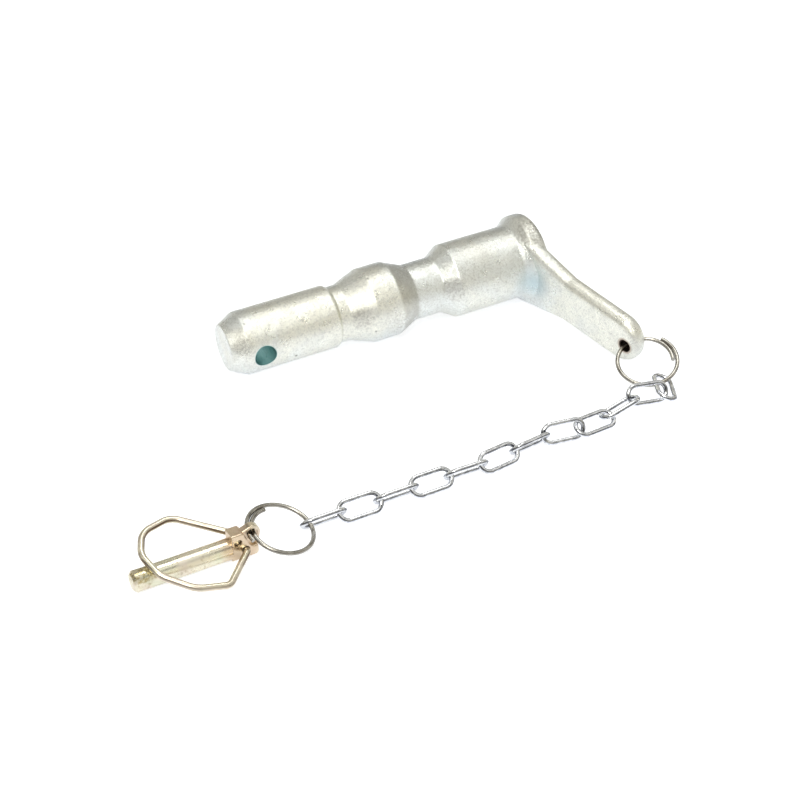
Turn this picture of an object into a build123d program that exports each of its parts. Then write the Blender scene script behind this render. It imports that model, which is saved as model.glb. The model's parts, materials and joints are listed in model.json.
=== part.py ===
from build123d import *
from math import asin, cos, radians, sin
import os

# Coupling pin with a linch pin kept on a short chain. Millimetres.
# Working frame: X runs along the pin from its chamfered tip to its flat arm,
# the arm and the chain lie on the -Y side, the floor is Z = 0.

# ---- coupling pin: one forging, round shank with a flat arm at the root end
front_radius = 15.5
waist_radius = 14.0
bulge_radius = 18.5
flange_radius = 22.3
pin_length = 166.5
cross_hole_radius = 5.5
cross_hole_station = 15.4
cross_hole_turn = 6.0
arm_inset = 9.8
arm_station = pin_length - arm_inset
arm_lean = 16.2
arm_thickness = 9.4
arm_edge_round = 4.3
arm_hole_radius = 3.1
arm_tip_reach = 73.6
arm_tip_radius = 12.3
arm_hole_margin = 6.4
arm_hole_reach = arm_tip_reach + arm_tip_radius - arm_hole_margin
arm_neck_reach = 37.0
arm_neck_radius = 12.6
arm_root_reach = 6.0
arm_root_radius = 19.5
rest_pitch = 2.56
rest_roll = 8.77

flange_width = 8.0
flange_cone = 5.0

# station, radius, corner round, from the tip face to the back of the flange
shank_corners = [
    (0.0, 11.3, 0.8),
    (8.2, front_radius, 1.5),
    (54.4, front_radius, 1.2),
    (56.0, waist_radius, 0.8),
    (61.2, waist_radius, 2.0),
    (73.5, bulge_radius, 3.0),
    (86.3, bulge_radius, 2.0),
    (96.6, waist_radius, 1.5),
    (111.1, waist_radius, 2.0),
    (118.3, bulge_radius, 2.0),
    (pin_length - flange_width - flange_cone, bulge_radius, 3.0),
    (pin_length - flange_width, flange_radius, 2.5),
    (pin_length, flange_radius, 3.5),
]

# ---- chain: welded oval links of round wire
link_wire = 2.2
link_inner_length = 17.8
link_inner_width = 6.3
hook_gap = 0.3

# ---- split rings: one wire, part of a turn doubled
ring_wire = 2.0
ring_radius = 13.9
lap_gap = 0.1
arm_ring_overlap = 57.0
arm_ring_seat = (-0.4, 0.5, 0.5)
arm_ring_droop = 6.0
arm_ring_lean = 15.2
arm_ring_turn = -79.6
linch_ring_overlap = 92.0
linch_ring_turn = 25.0

# ---- linch pin: round shank, flat-sided head with a thinner eye web on top
linch_radius = 4.7
linch_length = 43.3
linch_tip_chamfer = 1.2
head_length = 12.9
head_half = 3.5
head_top = 8.3
head_step_height = 0.2
web_half = 1.8
eye_station = 10.0
eye_height = 5.4
eye_radius = 2.6
eye_wall = 1.25
linch_heading = 3.0
linch_ring_heading = -4.6
linch_ring_slack = 1.2
linch_ring_drop = 1.4
linch_ring_cant = 10.0
linch_ring_swing = 10.0

# ---- bail: spring wire whose two legs sit in offset cross holes
bail_wire = 3.0
leg_gap = 0.35
leg_cut_back = 1.4
near_leg = (6.2, -0.4)
far_leg = (2.8, 4.2)
bail_rise = 0.126
bail_cant = 0.32

# ---- how it lies at rest, from the arm to the linch pin
last_link_hook = -1.0
last_link_slack = 3.1
last_link_turn = (148.4, -8.0, 149.0)
# slack links propped on one another: where each one's far end lies in the near end
# of the link before it, and how it is turned there
propped_links = [
    ((4.27, 1.08, 1.52), (16.3, -54.4, -52.9)),
    ((3.36, -0.88, 1.28), (-83.4, -19.1, 3.5)),
    ((4.25, -1.34, -1.39), (50.4, 8.4, -5.8)),
    ((3.44, 0.20, 0.16), (43.7, -9.8, -5.1)),
]
# heading and roll of the links that lie flat on the floor
flat_links = [(9, -54), (9, 45), (2, -54), (3, 45), (3, -54), (2, 45), (3, -54)]


def shank():
    """Turned outline of the pin, its corners softened as a forging's are."""
    corners = [(0.0, 0.0)] + [(x, r) for x, r, soft in shank_corners] + [(pin_length, 0.0)]
    softness = [soft for x, r, soft in shank_corners]
    outline = FilletPolyline(*corners, radius=softness)
    half = make_face(Curve() + outline + Line((pin_length, 0.0), (0.0, 0.0)))
    return revolve(half, Axis.X, 360)


def arm():
    """Flat arm leaning back, broad where it leaves the flange, round at its tip."""
    root = Pos(arm_root_reach, 0) * Circle(arm_root_radius)
    neck = Pos(arm_neck_reach, 0) * Circle(arm_neck_radius)
    tip = Pos(arm_tip_reach, 0) * Circle(arm_tip_radius)
    outline = make_hull(root.edges() + neck.edges()) + make_hull(neck.edges() + tip.edges())
    flat = extrude(outline, arm_thickness / 2, both=True)
    rims = flat.edges().filter_by(Axis.Z, reverse=True)
    return fillet(rims, arm_edge_round)


def arm_place():
    """Frame of the arm: X out along the arm, Z along its face normal."""
    lean = radians(arm_lean)
    return Plane(
        origin=(arm_station, 0, 0),
        x_dir=(sin(lean), -cos(lean), 0),
        z_dir=(cos(lean), sin(lean), 0),
    ).location


def pin_forging():
    flat = arm()
    bore = Pos(arm_hole_reach, 0) * Cylinder(arm_hole_radius, 3 * arm_thickness)
    turned = Rot(X=-cross_hole_turn) * Pos(cross_hole_station, 0, 0) * Rot(X=90)
    cross = turned * Cylinder(cross_hole_radius, 4 * front_radius)
    return shank() + arm_place() * flat - arm_place() * bore - cross


def rest_turn():
    """The pin lies on its bulge and flange with the arm's tip down on the floor."""
    return Rot(Y=-rest_pitch) * Rot(X=rest_roll)


def wire_arc(centre_x, bend, start, sweep, wire):
    """Round wire bent to one arc in the XY plane."""
    section = Plane.XZ * Pos(bend, 0) * Circle(wire / 2)
    arc = revolve(section, Axis.Z, sweep)
    return Pos(centre_x, 0, 0) * Rot(Z=start) * arc


def chain_link():
    """Oval link lying in XY, long along X."""
    bend = (link_inner_width + link_wire) / 2
    straight = link_inner_length - link_inner_width
    ends = [wire_arc(straight / 2, bend, -90, 180, link_wire)]
    ends.append(wire_arc(-straight / 2, bend, 90, 180, link_wire))
    bars = [Pos(0, s * bend, 0) * Rot(Y=90) * Cylinder(link_wire / 2, straight) for s in (-1, 1)]
    return ends[0] + ends[1] + bars[0] + bars[1]


def split_ring(overlap):
    """Ring in XY, doubled side by side about -Y, single about +Y."""
    step = (ring_wire + lap_gap) / 2
    lap = (180 + overlap) / 2
    outer = wire_arc(0, ring_radius + step, -lap, lap, ring_wire)
    middle = wire_arc(step, ring_radius, 0, 180, ring_wire)
    inner = wire_arc(0, ring_radius - step, 180, lap, ring_wire)
    return outer + middle + inner


def head_slab():
    """Thick part of the head: full height by the shank, stepped down past the leg holes."""
    low = -linch_radius
    near_x = linch_length - 1
    end_x = linch_length + head_length - 0.8
    side = FilletPolyline(
        (near_x, low),
        (end_x, low),
        (end_x, head_step_height),
        (linch_length + 8.7, head_step_height),
        (linch_length + 5.7, head_top),
        (near_x, head_top),
        radius=[1.5, 1.0, 2.5, 2.0],
    )
    face = make_face(Curve() + side + Line((near_x, head_top), (near_x, low)))
    trim = Pos(linch_length + head_length / 2, 0, 0) * Box(head_length, 60, 60)
    slab = extrude(Plane.XZ * face, head_half, both=True)
    return slab & trim


def eye_web():
    """Thinner web that carries the eye, round about it."""
    wall = eye_radius + eye_wall
    eye = Pos(linch_length + eye_station, eye_height) * Circle(wall)
    base = Pos(linch_length + wall, 3.0) * Circle(wall)
    foot = Pos(linch_length + eye_station - 1.0, -1.0) * Circle(wall - 0.4)
    outline = make_hull(eye.edges() + base.edges() + foot.edges())
    return extrude(Plane.XZ * outline, web_half, both=True)


def cross_bore(spot, radius):
    """Hole across the head at (distance behind the shank, height)."""
    return Pos(linch_length + spot[0], 0, spot[1]) * Rot(X=90) * Cylinder(radius, 30)


def linch_pin():
    """Linch pin along X from its tip, head upright."""
    rod = Pos(linch_length / 2, 0, 0) * Rot(Y=90) * Cylinder(linch_radius, linch_length)
    rod = chamfer(rod.edges().sort_by(Axis.X)[0], linch_tip_chamfer)
    body = rod + fillet_rims(head_slab(), 0.8) + fillet_rims(eye_web(), 0.6)
    leg_bore = bail_wire / 2 + leg_gap
    body = body - cross_bore(near_leg, leg_bore) - cross_bore(far_leg, leg_bore)
    return body - cross_bore((eye_station, eye_height), eye_radius)


def fillet_rims(slab, size):
    """Round the long rims of a slab that stands across Y."""
    rims = slab.edges().filter_by(Axis.Y, reverse=True)
    return fillet(rims, size)


def bail():
    """Spring bail in the linch pin's frame: legs in the cross holes, loop round the tip."""
    near_x = linch_length + near_leg[0]
    far_x = linch_length + far_leg[0]
    reach = head_half - leg_cut_back
    plan = [(35.4, -18.3), (21.5, -16.3), (10.0, -7.0), (6.6, 4.2), (11.2, 14.3), (25.4, 18.4)]
    middle = (near_x + far_x) / 2
    level = (near_leg[1] + far_leg[1]) / 2
    loop = [(x, y, level + bail_rise * (middle - x) + bail_cant * y) for x, y in plan]
    path = [(near_x, reach, near_leg[1]), (near_x, -head_half - 1.2, near_leg[1])]
    path += loop
    path += [(far_x, head_half + 1.2, far_leg[1]), (far_x, -reach, far_leg[1])]
    route = FilletPolyline(*path, radius=[1.6, 3.6, 14.0, 12.0, 9.0, 9.0, 9.0, 1.6])
    section = Plane(origin=route @ 0, z_dir=route % 0) * Circle(bail_wire / 2)
    return sweep(section, path=route)


# ---- where each piece lies


def half_link():
    """Centre of a link to the wire centre of its end."""
    return (link_inner_length + link_wire) / 2


def pin_place(forging):
    """Rest place of the pin, set down until it touches the floor."""
    turned = rest_turn() * forging
    return Pos(0, 0, -turned.bounding_box().min.Z) * rest_turn()


def arm_ring_place():
    """In the pin's frame: ring through the arm's hole, its single wire in the hole."""
    inner = ring_radius - (ring_wire + lap_gap) / 2
    in_hole = Pos(arm_hole_reach, 0, 0) * Pos(*arm_ring_seat)
    turn = Rot(Z=arm_ring_droop) * Rot(Y=arm_ring_lean) * Rot(X=arm_ring_turn)
    return arm_place() * in_hole * turn * Pos(inner, 0, 0)


def last_link_place():
    """In the arm ring's frame: link hooked on the single wire across from the arm."""
    out = ring_radius + (ring_wire + lap_gap) / 2
    inside = half_link() - (link_wire + ring_wire) / 2 - last_link_slack
    on_wire = Rot(Z=last_link_hook) * Pos(out, 0, 0)
    return on_wire * Rot(*last_link_turn) * Pos(-inside, 0, 0)


def chain_places(arm_ring):
    """Links from the arm's ring to the linch pin's, first the propped, then the flat."""
    bend = (link_inner_width + link_wire) / 2
    far = Pos(half_link(), 0, 0)
    near = far.inverse()
    places = [arm_ring * last_link_place()]
    for offset, turned in propped_links:
        places.append(places[-1] * near * Pos(*offset) * Rot(*turned) * near)
    hook = half_link() - link_wire - hook_gap
    for heading, roll in flat_links:
        bar = (places[-1] * near).position
        turn = radians(heading)
        x = bar.X - hook * cos(turn)
        y = bar.Y - hook * sin(turn)
        z = bend * abs(sin(radians(roll))) + link_wire / 2
        places.append(Pos(x, y, z) * Rot(Z=heading) * Rot(X=roll))
    return places


def linch_places(first_link):
    """Ring from the first link up to the eye, and the linch pin flat on the floor."""
    step = (ring_wire + lap_gap) / 2
    inside = half_link() - (link_wire + ring_wire) / 2 - hook_gap - linch_ring_slack
    hook = (first_link * Pos(-inside, linch_ring_drop, 0)).position
    swing = radians(linch_ring_swing)
    across = step + ring_radius * sin(swing)
    along = ring_radius * (1 + cos(swing))
    climb = linch_radius + eye_height - hook.Z + across * sin(radians(linch_ring_cant))
    tilt = asin(climb / along)
    turn = radians(linch_ring_heading)
    away = Vector(cos(turn) * cos(tilt), sin(turn) * cos(tilt), -sin(tilt))
    side = Vector(-sin(turn), cos(turn), 0)
    facing = Plane(origin=(0, 0, 0), x_dir=side, z_dir=side.cross(away)).location
    facing = facing * Rot(Y=linch_ring_cant)
    reach = (facing * Pos(across, along - ring_radius, 0)).position
    ring = Pos(*(hook - reach)) * facing
    eye = (ring * Pos(0, -ring_radius, 0)).position
    nose = (Rot(Z=linch_heading) * Pos(linch_length + eye_station, 0, 0)).position
    pin = Pos(eye.X - nose.X, eye.Y - nose.Y, linch_radius) * Rot(Z=linch_heading)
    return ring * Rot(Z=linch_ring_turn), pin


def assembly():
    """Every piece in place, by node name, with its own place."""
    forging = pin_forging()
    pin = pin_place(forging)
    pieces = {"pin_forging": (pin, forging)}
    arm_ring = pin * arm_ring_place()
    pieces["arm_split_ring"] = (arm_ring, split_ring(arm_ring_overlap))
    link = chain_link()
    links = chain_places(arm_ring)[::-1]
    for number, place in enumerate(links, 1):
        pieces[f"chain_link_{number:02d}"] = (place, link)
    ring_place, linch_place = linch_places(links[0])
    pieces["linch_split_ring"] = (ring_place, split_ring(linch_ring_overlap))
    pieces["linch_pin"] = (linch_place, linch_pin())
    pieces["linch_bail"] = (linch_place, bail())
    return pieces


def centring(pieces):
    """Shift that puts the origin on the floor under the middle of the whole."""
    box = Compound([place * shape for place, shape in pieces.values()]).bounding_box()
    middle = box.center()
    return Pos(-middle.X, -middle.Y, -box.min.Z)


def main():
    os.makedirs("parts", exist_ok=True)
    pieces = assembly()
    shift = centring(pieces)
    for name, (place, shape) in pieces.items():
        solid = (shift * place * shape).solid()
        solid.label = name
        export_step(solid, f"parts/{name}.step")


if __name__ == "__main__":
    main()
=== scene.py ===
import json
from math import cos, radians, sin

import bpy
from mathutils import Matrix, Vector

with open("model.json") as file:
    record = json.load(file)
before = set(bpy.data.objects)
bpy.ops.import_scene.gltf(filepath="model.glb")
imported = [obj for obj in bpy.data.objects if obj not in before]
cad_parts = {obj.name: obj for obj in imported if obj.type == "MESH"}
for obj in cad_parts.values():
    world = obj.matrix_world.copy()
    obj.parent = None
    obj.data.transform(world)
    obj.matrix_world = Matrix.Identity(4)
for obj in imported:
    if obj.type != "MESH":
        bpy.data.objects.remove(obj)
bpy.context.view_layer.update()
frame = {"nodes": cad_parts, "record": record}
record = frame["record"]
MOUNT = {m["name"]: m for m in record["mounts"]}
JOINT = {j["name"]: j for j in record["behaviour"]["joints"]}
scene = bpy.context.scene
scene.view_settings.view_transform = "Standard"

MM = 0.001
UP = Vector((0, 0, 1))


# ---------------------------------------------------------------- camera
AZIMUTH = 26.05                      # degrees that the view is turned from +y towards +x
ELEVATION = 35.54                    # degrees that the camera stands above the floor
LENS, SENSOR = 79.9, 36.0            # mm
DISTANCE = 0.830                     # metres from the point it looks at
AIM = Vector((0.01330, 0.00619, 0.0))
AHEAD = Vector((sin(radians(AZIMUTH)), cos(radians(AZIMUTH)), 0))


def view_camera():
    look = AHEAD * cos(radians(ELEVATION)) - UP * sin(radians(ELEVATION))
    data = bpy.data.cameras.new("view_camera")
    data.lens = LENS
    data.sensor_width = SENSOR
    camera = bpy.data.objects.new("view_camera", data)
    camera.location = AIM - look * DISTANCE
    camera.rotation_euler = (radians(90 - ELEVATION), 0, -radians(AZIMUTH))
    scene.collection.objects.link(camera)
    scene.camera = camera


# ---------------------------------------------------------------- node helpers
class Nodes:
    """Shorthand for building one node tree."""

    def __init__(self, tree):
        self.tree = tree

    def add(self, kind, **values):
        node = self.tree.nodes.new(kind)
        for key, value in values.items():
            setattr(node, key, value)
        return node

    def link(self, start, end):
        self.tree.links.new(start, end)

    def put(self, socket, value):
        """Feed a socket from another socket, or give it a plain value."""
        if isinstance(value, bpy.types.NodeSocket):
            self.link(value, socket)
        else:
            socket.default_value = value

    def put_all(self, node, values):
        for socket, value in zip(node.inputs, values):
            self.put(socket, value)

    def math(self, operation, *values):
        node = self.add("ShaderNodeMath", operation=operation)
        self.put_all(node, values)
        return node.outputs[0]

    def times(self, a, b):
        return self.math("MULTIPLY", a, b)

    def larger(self, a, b):
        return self.math("MAXIMUM", a, b)

    def vector(self, operation, *values):
        node = self.add("ShaderNodeVectorMath", operation=operation)
        self.put_all(node, values)
        gives_number = operation in ("DOT_PRODUCT", "LENGTH")
        return node.outputs["Value" if gives_number else "Vector"]

    def height_of(self, vector):
        """The z part of a vector."""
        node = self.add("ShaderNodeSeparateXYZ")
        self.link(vector, node.inputs[0])
        return node.outputs["Z"]

    def step(self, value, low, high, at_low=0.0, at_high=1.0):
        """A smooth step from at_low, where value is low or less, to at_high."""
        node = self.add("ShaderNodeMapRange", interpolation_type="SMOOTHSTEP")
        self.put_all(node, (value, low, high, at_low, at_high))
        return node.outputs[0]

    def fade(self, value, low, high):
        """1 where value is low or less, falling to 0 at high."""
        return self.step(value, low, high, 1.0, 0.0)

    def mix(self, amount, under, over):
        """Colour over laid on colour under, by an amount from 0 to 1."""
        node = self.add("ShaderNodeMix", data_type="RGBA", blend_type="MIX")
        self.put(node.inputs["Factor"], amount)
        self.put(node.inputs[6], under)
        self.put(node.inputs[7], over)
        return node.outputs[2]

    def lay(self, under, mask, strength, over):
        """Colour over laid on colour under where mask is 1, by strength at most."""
        return self.mix(self.times(mask, strength), under, over)


class Metal(Nodes):
    """A metal material that is painted by its object coordinates, in metres."""

    def __init__(self, name):
        self.material = bpy.data.materials.new(name)
        self.material.use_nodes = True
        super().__init__(self.material.node_tree)
        self.shader = self.tree.nodes["Principled BSDF"]
        self.shader.inputs["Metallic"].default_value = 1.0
        coordinates = self.add("ShaderNodeTexCoord")
        self.where = coordinates.outputs["Object"]
        self.facing = coordinates.outputs["Normal"]

    def paint(self, tone, roughness, normal):
        self.put(self.shader.inputs["Base Color"], tone)
        self.put(self.shader.inputs["Roughness"], roughness)
        self.put(self.shader.inputs["Normal"], normal)
        return self.material

    def noise(self, scale, detail=3.0, roughness=0.55, warp=0.0):
        node = self.add("ShaderNodeTexNoise")
        self.link(self.where, node.inputs["Vector"])
        node.inputs["Scale"].default_value = scale
        node.inputs["Detail"].default_value = detail
        node.inputs["Roughness"].default_value = roughness
        node.inputs["Distortion"].default_value = warp
        return node.outputs["Fac"]

    def bump(self, height, strength, depth, below=None):
        """A bump depth millimetres high, on top of the bump below."""
        node = self.add("ShaderNodeBump")
        node.inputs["Strength"].default_value = strength
        node.inputs["Distance"].default_value = depth * MM
        self.link(height, node.inputs["Height"])
        if below is not None:
            self.link(below, node.inputs["Normal"])
        return node.outputs[0]

    def rare_dots(self, scale, size, share):
        """Dots at the middle of a small share of the cells of a cell pattern."""
        cells = self.add("ShaderNodeTexVoronoi")
        self.link(self.where, cells.inputs["Vector"])
        cells.inputs["Scale"].default_value = scale
        colour = self.add("ShaderNodeSeparateColor")
        self.link(cells.outputs["Color"], colour.inputs[0])
        chosen = self.step(colour.outputs[0], 1.0 - share * 1.25, 1.0 - share)
        return self.times(self.fade(cells.outputs["Distance"], size / 3, size), chosen)

    def distance(self, point):
        """Metres from a point."""
        return self.vector("LENGTH", self.vector("SUBTRACT", self.where, tuple(point)))

    def off_axis(self, point, axis):
        """Metres from a line."""
        reach = self.vector("SUBTRACT", self.where, tuple(point))
        return self.vector("LENGTH", self.vector("CROSS_PRODUCT", reach, tuple(axis)))

    def along_axis(self, point, axis):
        """Metres along a line from a point on it."""
        reach = self.vector("SUBTRACT", self.where, tuple(point))
        return self.vector("DOT_PRODUCT", reach, tuple(axis))

    def ball(self, centre, size):
        """1 at a point, fading to 0 at size millimetres from it."""
        return self.fade(self.distance(centre), 0.0, size * MM)

    def flank(self, low, high):
        """1 where the normal's z is well between low and high, as on a wire's sides, where
        painted shade goes.
        """
        middle, reach = (low + high) / 2, (high - low) / 2
        off = self.math("ABSOLUTE", self.math("SUBTRACT", self.height_of(self.facing), middle))
        return self.fade(off, reach * 0.6, reach * 1.2)


def rgb(red, green, blue):
    return (red, green, blue, 1.0)


# ---------------------------------------------------------------- colours
ZINC_COOL = rgb(0.93, 0.96, 0.94)
ZINC_WARM = rgb(0.98, 0.97, 0.87)
ZINC_DULL = rgb(0.74, 0.74, 0.71)
ZINC_GRAIN = rgb(0.58, 0.58, 0.54)
ZINC_GRIT = rgb(0.56, 0.56, 0.51)
# darker zinc, both for real stains and for the painted shade on the cone behind the bulge
ZINC_STAIN_AND_SHADE = rgb(0.47, 0.45, 0.40)
PIT_BLACK = rgb(0.16, 0.15, 0.13)
# painted shade for the corner between the rear land and the arm
CORNER_SHADE_BLUE = rgb(0.42, 0.56, 0.60)
BORE_TEAL = rgb(0.55, 0.78, 0.77)
RIM_BROWN = rgb(0.44, 0.33, 0.25)
# painted shade inside the arm's hole
HOLE_SHADE_BLACK = rgb(0.07, 0.05, 0.04)
LINK_BRIGHT = rgb(0.93, 0.94, 0.96)
LINK_DULL = rgb(0.78, 0.79, 0.82)
# painted reflection: dark streaks on the links
LINK_REFLECTION_DARK = rgb(0.20, 0.21, 0.23)
# painted shade on the links' flanks
LINK_FLANK_SHADE = rgb(0.08, 0.085, 0.10)
RING_BRIGHT = rgb(0.56, 0.54, 0.49)
RING_DULL = rgb(0.36, 0.34, 0.30)
# painted shade on the rings' flanks
RING_FLANK_SHADE = rgb(0.14, 0.12, 0.10)
GOLD_PALE = rgb(0.88, 0.83, 0.66)
GOLD_PINK = rgb(0.86, 0.77, 0.66)
GOLD_GREEN = rgb(0.78, 0.80, 0.62)
GOLD_WORN = rgb(0.42, 0.33, 0.18)
TIP_SPECKLE = rgb(0.40, 0.31, 0.12)
HEAD_COPPER = rgb(0.70, 0.50, 0.33)
BAIL_BROWN = rgb(0.42, 0.30, 0.18)
# painted shade on the bail's flanks
BAIL_FLANK_SHADE = rgb(0.13, 0.075, 0.045)
WHITE = rgb(1.0, 1.0, 1.0)
FLOOR_MATT = rgb(0.79, 0.81, 0.85)
FLOOR_GLOSS = rgb(0.90, 0.92, 1.0)
ROOM_LOW = rgb(1.0, 0.96, 0.82)
ROOM_HIGH = rgb(0.98, 0.98, 0.94)
ROOM_FAR = rgb(0.58, 0.57, 0.52)
ROOM_LEFT = rgb(0.42, 0.42, 0.40)
ROOM_BAND = rgb(0.04, 0.04, 0.045)


# ---------------------------------------------------------------- places on the forging
FRONT_MOUNT_STATION = 31.2 * MM      # from the tip to the front_shank mount
ARM_LEAN = radians(16.2)             # how far the arm's flat side leans from square
PIN_AXIS = -Vector(MOUNT["front_shank"]["axis"])
PIN_TIP = Vector(MOUNT["front_shank"]["pos_m"]) - PIN_AXIS * FRONT_MOUNT_STATION
SIDE_AXIS = PIN_AXIS.cross(UP).normalized()
NEAR_SIDE = SIDE_AXIS if SIDE_AXIS.dot(AHEAD) < 0 else -SIDE_AXIS
ARM_NORMAL = (PIN_AXIS * cos(ARM_LEAN) - SIDE_AXIS * sin(ARM_LEAN)).normalized()
ARM_HOLE = Vector(JOINT["arm_ring_swing"]["pos_m"])
ARM_HOLE_RADIUS = 3.1 * MM
CROSS_HOLE = Vector(MOUNT["cross_hole"]["pos_m"])
CROSS_HOLE_AXIS = Vector(MOUNT["cross_hole"]["axis"])
CROSS_HOLE_RADIUS = MOUNT["cross_hole"]["dims"]["r_mm"] * MM

# A place on the forging is its station from the tip in mm, its height in degrees above level
# on the side near the camera, and its radius from the axis in mm. The sizes are mm too.
MARKS = [                            # place, size
    ((8.8, 66, 15.4), 1.2),
    ((73.4, 76, 18.4), 1.1),
    ((71.6, -14, 17.8), 1.0),
]
PATCH, PATCH_SIZE = (5.5, 26, 14.0), 6.2
STAINS = [                           # place, size, how dark
    ((65.0, 12, 17.5), 9.0, 0.55),
    ((114.0, 16, 17.0), 9.0, 0.50),
    ((82.0, -8, 18.5), 9.0, 0.30),
    ((161.0, 66, 21.8), 12.0, 0.75),
    ((5.0, 40, 13.5), 8.0, 0.35),
    ((127.0, 60, 18.5), 14.0, 0.25),
]
CORNER_SHADE, CORNER_SHADE_SIZE = (158.0, -6, 19.0), 13.0    # painted shade, blue-grey, in the corner between the rear land and the arm
CONE_SHADE_BAND = (85.5, 88.0, 95.0, 98.5)             # painted shade on the cone behind the bulge; stations: it starts, is full, still is, ends


def on_forging(station, height, radius):
    """The point of the forging's surface at a place."""
    out = NEAR_SIDE * cos(radians(height)) + UP * sin(radians(height))
    return PIN_TIP + PIN_AXIS * station * MM + out * radius * MM


# ---------------------------------------------------------------- the forging's material
def plated_tone(metal, big, mid, fine, grit):
    """Cloudy bright zinc, duller in patches, with two sizes of darker grain."""
    tone = metal.mix(metal.step(big, 0.35, 0.65), ZINC_COOL, ZINC_WARM)
    tone = metal.lay(tone, metal.step(mid, 0.42, 0.72), 0.35, ZINC_DULL)
    tone = metal.lay(tone, metal.step(fine, 0.48, 0.68), 0.55, ZINC_GRAIN)
    return metal.lay(tone, metal.step(grit, 0.44, 0.60), 0.42, ZINC_GRIT)


def pits(metal, fine, grit):
    """Scattered dark dots, the marks and the speckled patch on the tip's chamfer."""
    pit = metal.rare_dots(scale=95, size=0.09, share=0.02)
    for place, size in MARKS:
        spot = metal.ball(on_forging(*place), size)
        pit = metal.larger(pit, metal.times(spot, metal.step(fine, 0.3, 0.6)))
    patch = metal.step(metal.ball(on_forging(*PATCH), PATCH_SIZE), 0.05, 0.45)
    patch = metal.times(patch, metal.step(grit, 0.42, 0.60))
    return metal.larger(pit, metal.times(patch, 0.55))


def cone_shade_and_stains(metal, mid, fine):
    """Painted shade in a mottled band on the cone behind the bulge, and the clouded stains."""
    station = metal.along_axis(PIN_TIP, PIN_AXIS)
    starts, full, still, ends = (edge * MM for edge in CONE_SHADE_BAND)
    # the band of painted shade on the cone behind the bulge
    band = metal.times(metal.step(station, starts, full), metal.fade(station, still, ends))
    shade = metal.times(band, metal.step(mid, 0.25, 0.55, 0.25, 0.60))
    for place, size, dark in STAINS:
        spot = metal.step(metal.ball(on_forging(*place), size), 0.0, 0.6)
        spot = metal.times(spot, metal.step(fine, 0.36, 0.60, 0.35, 1.0))
        shade = metal.larger(shade, metal.times(spot, dark))
    return shade


def near_hole(metal, centre, axis, radius, full, gone):
    """1 within full millimetres of a round hole's edge, falling to 0 at gone."""
    off = metal.off_axis(centre, axis)
    return metal.fade(off, radius + full * MM, radius + gone * MM)


def hole_tones(metal, tone):
    """Teal inside the cross hole; a brown rim, and painted shade, nearly black, inside the arm's
    hole.
    """
    bore = near_hole(metal, CROSS_HOLE, CROSS_HOLE_AXIS, CROSS_HOLE_RADIUS, 0.06, 0.20)
    tone = metal.mix(bore, tone, BORE_TEAL)
    away = metal.distance(ARM_HOLE)
    rim = near_hole(metal, ARM_HOLE, ARM_NORMAL, ARM_HOLE_RADIUS, 0.5, 1.7)
    rim = metal.times(rim, metal.fade(away, 7 * MM, 8 * MM))
    tone = metal.lay(tone, rim, 0.7, RIM_BROWN)
    # painted shade, nearly black, on the inside wall of the arm's hole
    inside = near_hole(metal, ARM_HOLE, ARM_NORMAL, ARM_HOLE_RADIUS, 0.1, 0.5)
    inside = metal.times(inside, metal.fade(away, 6 * MM, 7 * MM))
    return metal.mix(inside, tone, HOLE_SHADE_BLACK)


def forging():
    metal = Metal("forged_zinc")
    big = metal.noise(28, 3, 0.5, 0.6)
    mid = metal.noise(160, 4, 0.6)
    fine = metal.noise(900, 3, 0.6)
    grit = metal.noise(2600, 2, 0.6)
    pit = pits(metal, fine, grit)
    tone = plated_tone(metal, big, mid, fine, grit)
    tone = metal.lay(tone, pit, 0.75, PIT_BLACK)
    # stains, and painted shade on the cone behind the bulge
    tone = metal.mix(cone_shade_and_stains(metal, mid, fine), tone, ZINC_STAIN_AND_SHADE)
    # painted shade in the corner between the rear land and the arm
    tone = metal.lay(tone, metal.ball(on_forging(*CORNER_SHADE), CORNER_SHADE_SIZE), 0.75, CORNER_SHADE_BLUE)
    tone = hole_tones(metal, tone)
    roughness = metal.math("ADD", metal.step(mid, 0.30, 0.75, 0.26, 0.42), metal.times(pit, 0.3))
    normal = metal.bump(big, 0.5, 1.8)
    normal = metal.bump(mid, 0.5, 0.6, normal)
    normal = metal.bump(fine, 0.6, 0.35, normal)
    normal = metal.bump(grit, 0.8, 0.16, normal)
    normal = metal.bump(metal.times(pit, -1.0), 0.5, 0.3, normal)
    return metal.paint(tone, roughness, normal)


# ---------------------------------------------------------------- the wires' materials
def chain_zinc():
    """Bright zinc on the links, with painted dark reflection streaks and painted shade on the
    flanks.
    """
    metal = Metal("chain_zinc")
    cloud = metal.noise(260, 3, 0.6)
    tone = metal.mix(metal.step(cloud, 0.35, 0.70), LINK_BRIGHT, LINK_DULL)
    # painted reflection: dark streaks where the bright zinc would mirror dark surroundings
    streak = metal.step(metal.noise(420, 2, 0.5, 0.8), 0.50, 0.66)
    tone = metal.lay(tone, streak, 0.35, LINK_REFLECTION_DARK)
    # painted shade on the wires' flanks, deeper where the zinc is duller
    flank_shade_depth = metal.step(cloud, 0.30, 0.60, 0.55, 0.90)
    tone = metal.lay(tone, metal.flank(0.05, 0.62), flank_shade_depth, LINK_FLANK_SHADE)
    roughness = metal.step(cloud, 0.3, 0.7, 0.08, 0.20)
    return metal.paint(tone, roughness, metal.bump(metal.noise(1400, 2), 0.15, 0.12))


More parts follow.
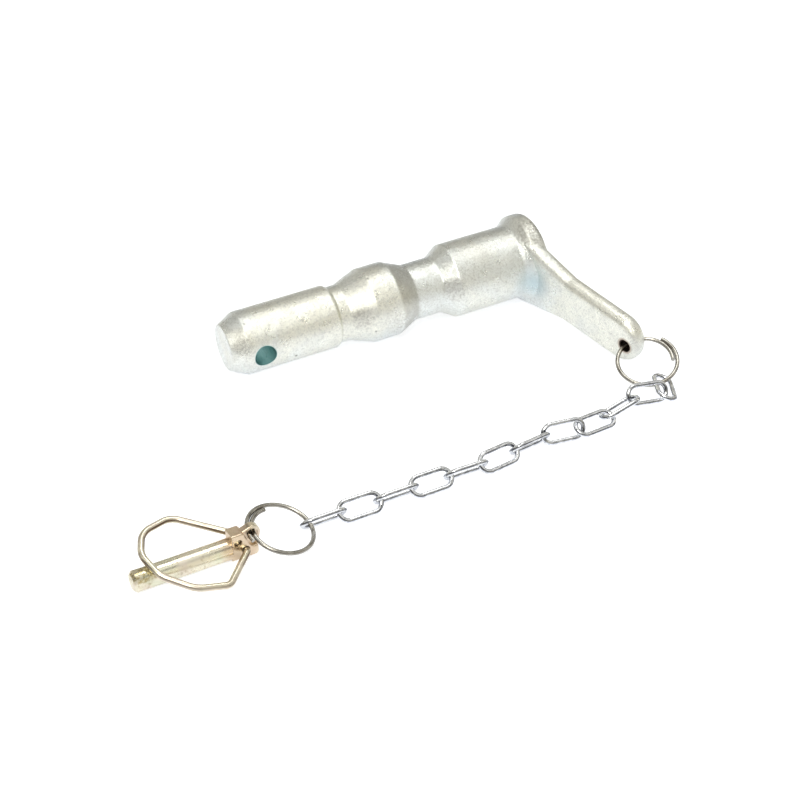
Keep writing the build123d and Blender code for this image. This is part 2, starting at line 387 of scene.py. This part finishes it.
def nickel_wire():
    """Dull nickel on the split rings, with painted brownish shade on the flanks."""
    metal = Metal("nickel_wire")
    cloud = metal.noise(220, 3, 0.6)
    tone = metal.mix(metal.step(cloud, 0.35, 0.70), RING_BRIGHT, RING_DULL)
    # painted shade on the rings' flanks
    tone = metal.lay(tone, metal.flank(0.0, 0.6), 0.55, RING_FLANK_SHADE)
    roughness = 0.24
    return metal.paint(tone, roughness, metal.bump(metal.noise(1500, 2), 0.15, 0.10))


# ---------------------------------------------------------------- the linch pin's materials
TIP_BEYOND_LEGS = 43.5 * MM          # from the bail's leg holes to its crossing of the tip
CROSSING_RISE = 2 * MM
LEG_HOLES = Vector(JOINT["bail_swing"]["pos_m"])
ALONG_PIN = UP.cross(Vector(JOINT["bail_swing"]["axis"])).normalized()
TO_TIP = -ALONG_PIN if ALONG_PIN.x > 0 else ALONG_PIN
CROSSING = LEG_HOLES + TO_TIP * TIP_BEYOND_LEGS + UP * CROSSING_RISE


def tinted_wire_with_flank_shade(metal, tone):
    """A faint brown tint all over the bail, and painted shade on its flanks in long streaks."""
    streak = metal.step(metal.noise(60, 2, 0.5, 0.6), 0.40, 0.60, 0.45, 0.95)
    tone = metal.mix(0.14, tone, BAIL_BROWN)
    # painted shade on the bail's flanks, in long streaks
    return metal.lay(tone, metal.flank(-0.05, 0.62), streak, BAIL_FLANK_SHADE)


def soiled_pin(metal, tone):
    """Speckle where the bail crosses the tip, and a coppery blush about the leg holes."""
    grain = metal.step(metal.noise(900, 3, 0.6), 0.40, 0.60, 0.25, 1.0)
    speckle = metal.times(metal.step(metal.ball(CROSSING, 9.0), 0.0, 0.6), grain)
    tone = metal.lay(tone, speckle, 0.80, TIP_SPECKLE)
    blush = metal.step(metal.ball(LEG_HOLES, 14.0), 0.0, 0.5)
    return metal.lay(tone, blush, 0.65, HEAD_COPPER)


def yellow_zinc(name, wear, soil_and_shade):
    """Pale gold passivated zinc with faint pink and green, worn, then marked by the function
    passed in: speckle and a copper blush on the pin, painted flank shade on the bail.
    """
    metal = Metal(name)
    cloud = metal.noise(70, 3, 0.5, 1.0)
    green = metal.step(metal.noise(45, 2, 0.5, 1.5), 0.50, 0.70)
    worn = metal.step(metal.noise(420, 4, 0.65), 0.52, 0.72)
    tone = metal.mix(metal.step(cloud, 0.38, 0.62), GOLD_PALE, GOLD_PINK)
    tone = metal.lay(tone, green, 0.7, GOLD_GREEN)
    tone = metal.lay(tone, worn, wear, GOLD_WORN)
    # the pin's speckle and blush, or the bail's painted flank shade
    tone = soil_and_shade(metal, tone)
    roughness = metal.step(cloud, 0.3, 0.7, 0.24, 0.38)
    return metal.paint(tone, roughness, metal.bump(metal.noise(1300, 2), 0.18, 0.12))


# ---------------------------------------------------------------- floor and light
FLOOR_HALF = 6.0                     # metres from its middle to an edge
FLOOR_DROP = 0.2 * MM                # the floor lies this far below the part
CAMERA_GLOW = (WHITE, 0.62)          # colour, strength
GLOSSY_GLOW = (FLOOR_GLOSS, 0.34)
BAND_RATE, BAND_SHIFT = 13.0, 0.6    # the dark bands follow sin(rate * part along AHEAD + shift)


def glowing(nodes, surface, glow):
    """A surface shader with a colour and strength of light added."""
    light = nodes.add("ShaderNodeEmission")
    nodes.put_all(light, glow)
    both = nodes.add("ShaderNodeAddShader")
    nodes.put_all(both, (surface, light.outputs[0]))
    return both.outputs[0]


def only_for(nodes, ray, seen, otherwise):
    """One shader for one kind of ray, and another for all the rest."""
    pick = nodes.add("ShaderNodeMixShader")
    nodes.put_all(pick, (nodes.add("ShaderNodeLightPath").outputs[ray], otherwise, seen))
    return pick.outputs[0]


def white_floor():
    """A matt floor that the camera, and what shines, sees as a white background."""
    mesh = bpy.data.meshes.new("floor")
    plan = ((-1, -1), (1, -1), (1, 1), (-1, 1))
    mesh.from_pydata([(x * FLOOR_HALF, y * FLOOR_HALF, 0) for x, y in plan], [], [(0, 1, 2, 3)])
    floor = bpy.data.objects.new("floor", mesh)
    floor.location.z = -FLOOR_DROP
    scene.collection.objects.link(floor)
    material = bpy.data.materials.new("floor_white")
    material.use_nodes = True
    nodes = Nodes(material.node_tree)
    nodes.tree.nodes.remove(nodes.tree.nodes["Principled BSDF"])
    diffuse = nodes.add("ShaderNodeBsdfDiffuse")
    diffuse.inputs["Color"].default_value = FLOOR_MATT
    matt = diffuse.outputs[0]
    surface = only_for(nodes, "Is Glossy Ray", glowing(nodes, matt, GLOSSY_GLOW), matt)
    surface = only_for(nodes, "Is Camera Ray", glowing(nodes, matt, CAMERA_GLOW), surface)
    nodes.link(surface, nodes.tree.nodes["Material Output"].inputs["Surface"])
    mesh.materials.append(material)


def studio_world():
    """A pale room with dark bands across it, which the metal mirrors; white to the camera."""
    world = bpy.data.worlds.new("studio")
    scene.world = world
    world.use_nodes = True
    nodes = Nodes(world.node_tree)
    toward = nodes.add("ShaderNodeTexCoord").outputs["Generated"]
    away = nodes.vector("DOT_PRODUCT", toward, tuple(AHEAD))
    leftward = nodes.vector("DOT_PRODUCT", toward, (-1, 0, 0))
    sky = nodes.mix(nodes.step(nodes.height_of(toward), 0.1, 0.8), ROOM_LOW, ROOM_HIGH)
    sky = nodes.mix(nodes.step(away, 0.15, 0.85), sky, ROOM_FAR)
    sky = nodes.lay(sky, nodes.step(leftward, 0.50, 0.95), 0.6, ROOM_LEFT)
    wave = nodes.math("SINE", nodes.math("MULTIPLY_ADD", away, BAND_RATE, BAND_SHIFT))
    sky = nodes.lay(sky, nodes.step(wave, 0.15, 0.55), 0.93, ROOM_BAND)
    room = nodes.tree.nodes["Background"]
    white = nodes.add("ShaderNodeBackground")
    for background, colour in ((room, sky), (white, WHITE)):
        nodes.put_all(background, (colour, 1.0))
    seen = only_for(nodes, "Is Camera Ray", white.outputs[0], room.outputs[0])
    nodes.link(seen, nodes.tree.nodes["World Output"].inputs["Surface"])


def soft_light(name, place, size, power, colour):
    """A square lamp, size metres wide, that points at AIM."""
    data = bpy.data.lights.new(name, "AREA")
    data.size = size
    data.energy = power
    data.color = colour
    lamp = bpy.data.objects.new(name, data)
    lamp.location = place
    lamp.rotation_euler = (AIM - Vector(place)).to_track_quat("-Z", "Y").to_euler()
    scene.collection.objects.link(lamp)


# ---------------------------------------------------------------- the scene
view_camera()

OWN_LOOK = {
    "pin_forging": forging(),
    "linch_pin": yellow_zinc("yellow_zinc_turned", 0.55, soiled_pin),
    "linch_bail": yellow_zinc("yellow_zinc_wire", 0.25, tinted_wire_with_flank_shade),
}
LINK_LOOK = chain_zinc()
RING_LOOK = nickel_wire()
for name, node in frame["nodes"].items():
    look = OWN_LOOK.get(name, RING_LOOK if "ring" in name else LINK_LOOK)
    for slot in node.material_slots:
        slot.material = look

white_floor()
studio_world()
soft_light("key", (-0.55, -0.75, 1.25), 0.7, 9.0, (1.0, 0.99, 0.93))
soft_light("top", (0.35, 0.25, 1.40), 0.6, 3.5, (1.0, 1.0, 0.98))
